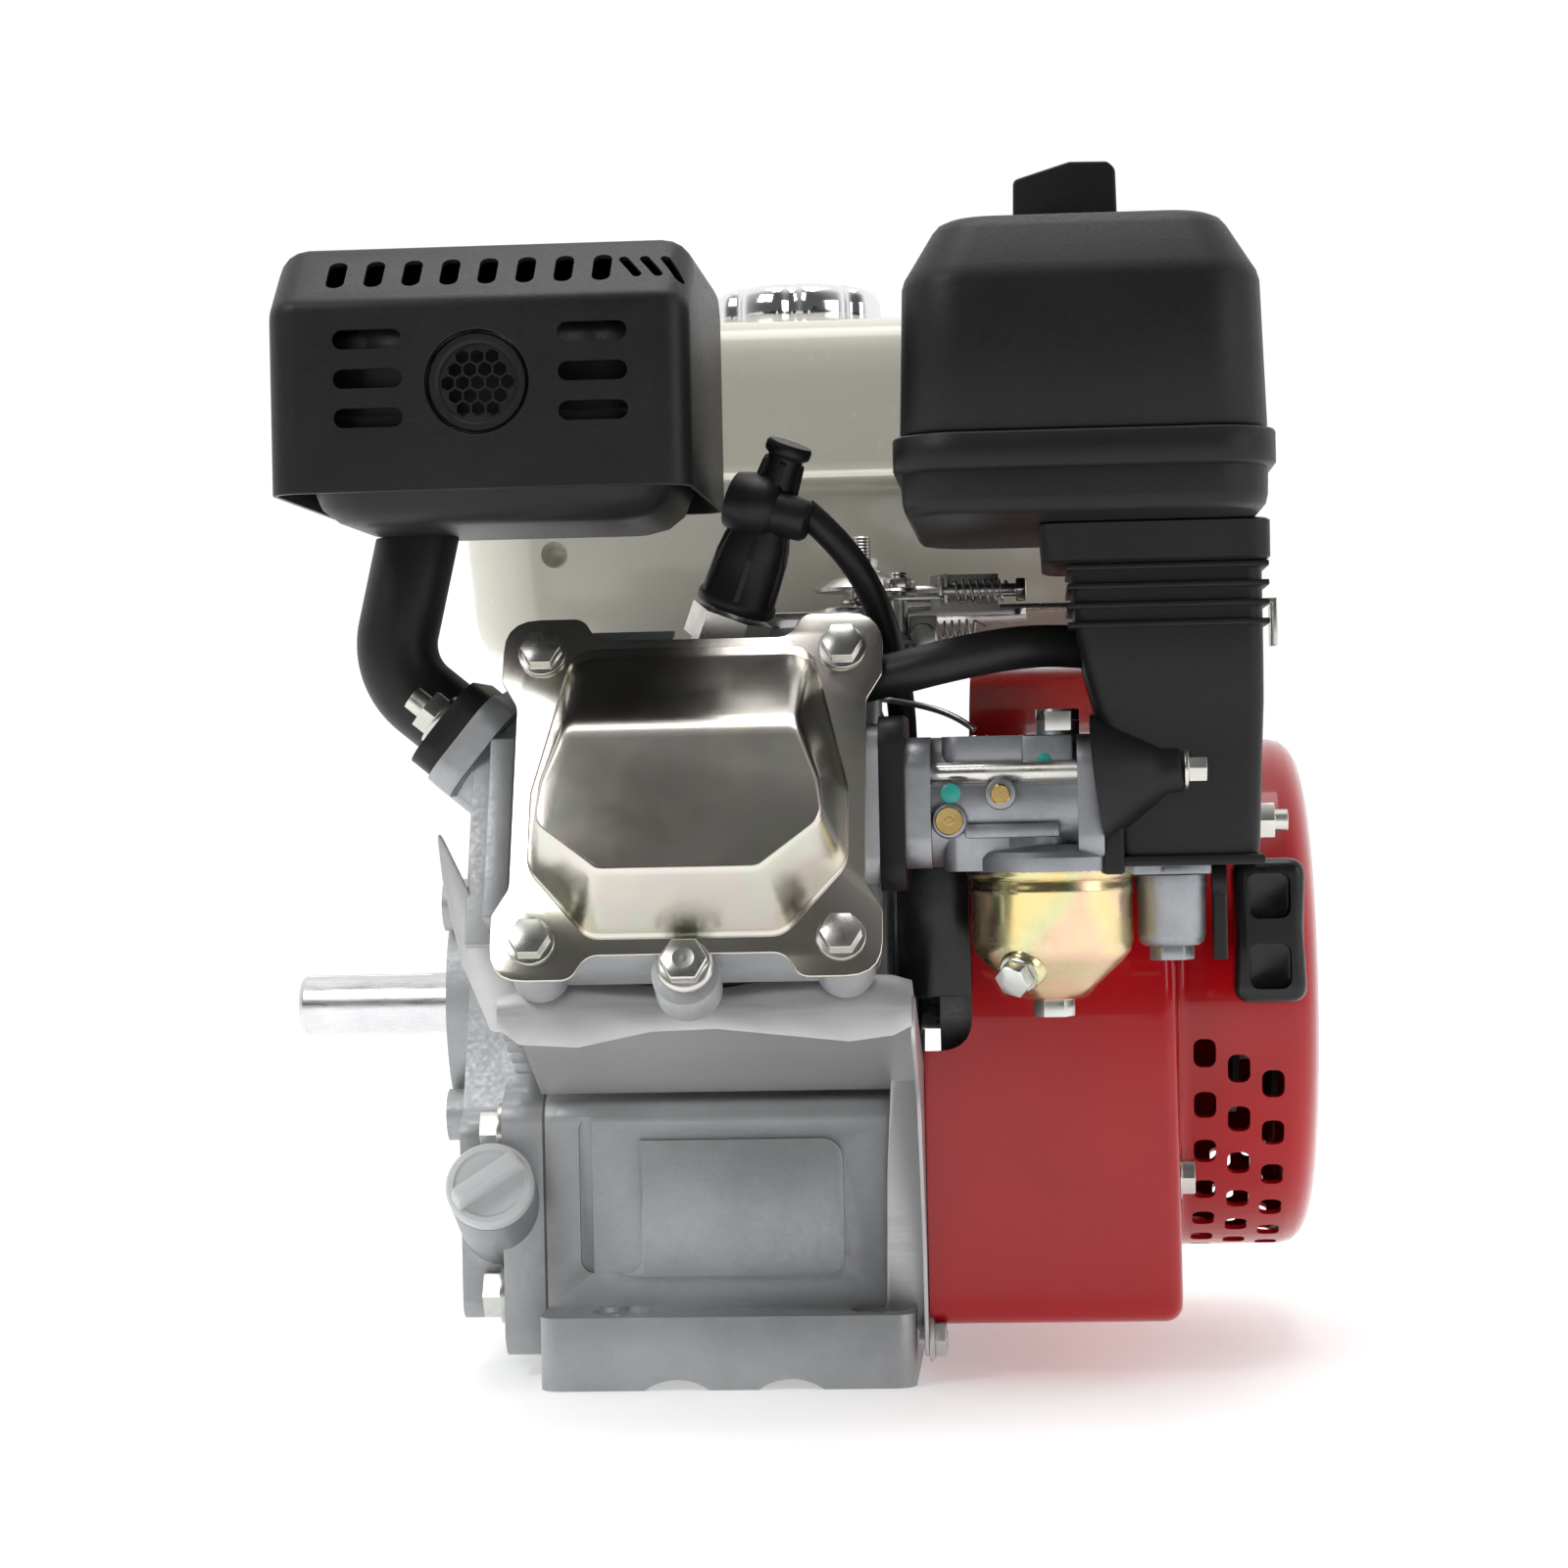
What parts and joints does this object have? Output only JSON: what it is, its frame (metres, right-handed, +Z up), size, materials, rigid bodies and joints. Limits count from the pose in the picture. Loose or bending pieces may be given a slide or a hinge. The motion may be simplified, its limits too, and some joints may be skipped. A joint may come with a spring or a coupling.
{
  "type": "small gasoline engine",
  "caption": "Air-cooled single-cylinder gasoline engine with an inclined cylinder, horizontal output shaft, fuel tank, muffler, air cleaner and recoil starter.",
  "frame": {"origin": "centre of the four base mounting holes on the base's underside", "axes": "+Z up, -X along the output shaft out of the engine, -Y towards the cylinder head, +Y towards the fuel tank's back"},
  "size_m": [0.318, 0.37, 0.3452],
  "materials": {
    "cast_aluminium": "fine cast texture, satin",
    "bearing_steel": "ground",
    "zinc_plated": "bright zinc plating",
    "chromated_zinc": "yellow chromate over pressed steel, glossy",
    "black_steel": "satin black heat-resistant paint",
    "red_paint": "gloss red enamel",
    "cream_paint": "gloss cream enamel",
    "chrome_cap": "bright chrome",
    "black_plastic": "fine grained moulding",
    "gloss_black": "smooth moulding",
    "grey_plastic": "smooth moulding",
    "black_rubber": "matte",
    "zinc_casting": "die-cast, satin",
    "gold_bowl": "iridescent yellow chromate",
    "cast_iron": "machined iron",
    "fibre": "fibre gasket sheet",
    "filter_paper": "pleated paper",
    "nylon_rope": "braided nylon"
  },
  "bodies": {
    "engine": {"crankcase": "cast_aluminium", "side_cover": "cast_aluminium", "side_cover_gasket": "fibre", "side_cover_bolts": "zinc_plated", "crank_bearings": "bearing_steel", "oil_seals": "black_rubber", "cylinder_head": "cast_aluminium", "head_gasket": "fibre", "head_bolts": "zinc_plated", "rocker_cover": "chromated_zinc", "rocker_cover_bolts": "zinc_plated", "spark_plug": "zinc_plated", "spark_plug_cap": "gloss_black", "ignition_lead": "black_rubber", "ignition_coil": "black_plastic", "exhaust_pipe": "black_steel", "exhaust_nuts": "zinc_plated", "muffler_body": "black_steel", "muffler_shield": "black_steel", "spark_arrester": "bearing_steel", "fuel_tank": "cream_paint", "tank_bracket": "black_steel", "fuel_hose": "black_rubber", "air_cleaner_case": "black_plastic", "air_cleaner_cover": "black_plastic", "filter_element": "filter_paper", "intake_elbow": "black_plastic", "breather_tube": "black_rubber", "carburettor_body": "zinc_casting", "carburettor_insulator": "black_plastic", "float_bowl": "gold_bowl", "bowl_bolt": "zinc_plated", "carburettor_studs": "zinc_plated", "sediment_cup": "zinc_casting", "control_base": "zinc_plated", "cylinder_deflector": "zinc_plated", "carburettor_guard": "black_plastic", "fan_shroud": "red_paint", "body_bolts": "zinc_plated", "starter_housing": "red_paint"},
    "crank_train": {"crankshaft": "bearing_steel", "flywheel": "cast_iron", "cooling_fan": "black_plastic", "starter_cup": "black_steel"},
    "cam_train": {"camshaft": "cast_iron"},
    "piston_train": {"piston": "cast_aluminium", "piston_rings": "cast_iron", "piston_pin": "bearing_steel", "connecting_rod": "cast_aluminium"},
    "recoil_reel": {"starter_reel": "black_plastic"},
    "recoil_pull": {"starter_grip": "black_plastic", "starter_rope": "nylon_rope"},
    "speed_lever": {"control_lever": "zinc_plated"},
    "choke": {"choke_lever": "zinc_plated"},
    "fuel_valve": {"fuel_valve_lever": "zinc_plated"},
    "tank_cap": {"fuel_cap": "chrome_cap"},
    "oil_cap": {"oil_filler_cap": "grey_plastic"},
    "cleaner_knob": {"air_cleaner_knob": "black_plastic"},
    "governor": {"governor_arm": "zinc_plated"},
    "switch": {"engine_switch": "gloss_black"}
  },
  "joints": [
    {"name": "crank_spin", "type": "hinge", "parent": "engine", "child": "crank_train", "pos_m": [0, 0.015, 0.106], "axis": [1, 0, 0], "continuous": true},
    {"name": "cam_spin", "type": "hinge", "parent": "engine", "child": "cam_train", "pos_m": [0, -0.02154, 0.06787], "axis": [1, 0, 0], "continuous": true},
    {"name": "piston_slide", "type": "slide", "parent": "engine", "child": "piston_train", "axis": [0, -0.9063, 0.4226], "range_m": [-0.054, 0]},
    {"name": "starter_pull", "type": "slide", "parent": "engine", "child": "recoil_pull", "axis": [0, -1, 0], "range_m": [0, 0.45]},
    {"name": "reel_spin", "type": "hinge", "parent": "engine", "child": "recoil_reel", "pos_m": [0, 0.015, 0.106], "axis": [1, 0, 0], "range_deg": [-1, 1080]},
    {"name": "speed_lever_turn", "type": "hinge", "parent": "engine", "child": "speed_lever", "pos_m": [0.035, -0.048, 0.225], "axis": [0, 0, 1], "range_deg": [-15, 8]},
    {"name": "choke_turn", "type": "hinge", "parent": "engine", "child": "choke", "pos_m": [0.092, -0.124, 0.19], "axis": [0, 0, 1], "range_deg": [-70, 0]},
    {"name": "fuel_valve_turn", "type": "hinge", "parent": "engine", "child": "fuel_valve", "pos_m": [0.1358, -0.122, 0.145], "axis": [1, 0, 0], "range_deg": [-90, 0]},
    {"name": "fuel_cap_turn", "type": "hinge", "parent": "engine", "child": "tank_cap", "pos_m": [0.01, 0.066, 0.33], "axis": [0, 0, 1], "range_deg": [0, 90]},
    {"name": "oil_cap_turn", "type": "hinge", "parent": "engine", "child": "oil_cap", "pos_m": [-0.076, -0.08025, 0.05702], "axis": [0, -0.8829, 0.4695], "range_deg": [0, 720]},
    {"name": "cleaner_knob_turn", "type": "hinge", "parent": "engine", "child": "cleaner_knob", "pos_m": [0.097, -0.12, 0.33], "axis": [0, 0, 1], "range_deg": [0, 720]},
    {"name": "governor_turn", "type": "hinge", "parent": "engine", "child": "governor", "pos_m": [0.03, 0.004, 0.21], "axis": [0, 0, 1], "range_deg": [-12, 2]},
    {"name": "switch_turn", "type": "hinge", "parent": "engine", "child": "switch", "pos_m": [0.13, 0.058, 0.187], "axis": [1, 0, 0], "range_deg": [0, 60]}
  ],
  "couplings": [
    {"joint": "cam_spin", "follows": "crank_spin", "ratio": -0.5},
    {"joint": "reel_spin", "follows": "starter_pull", "rad_per_m": 41.667}
  ]
}
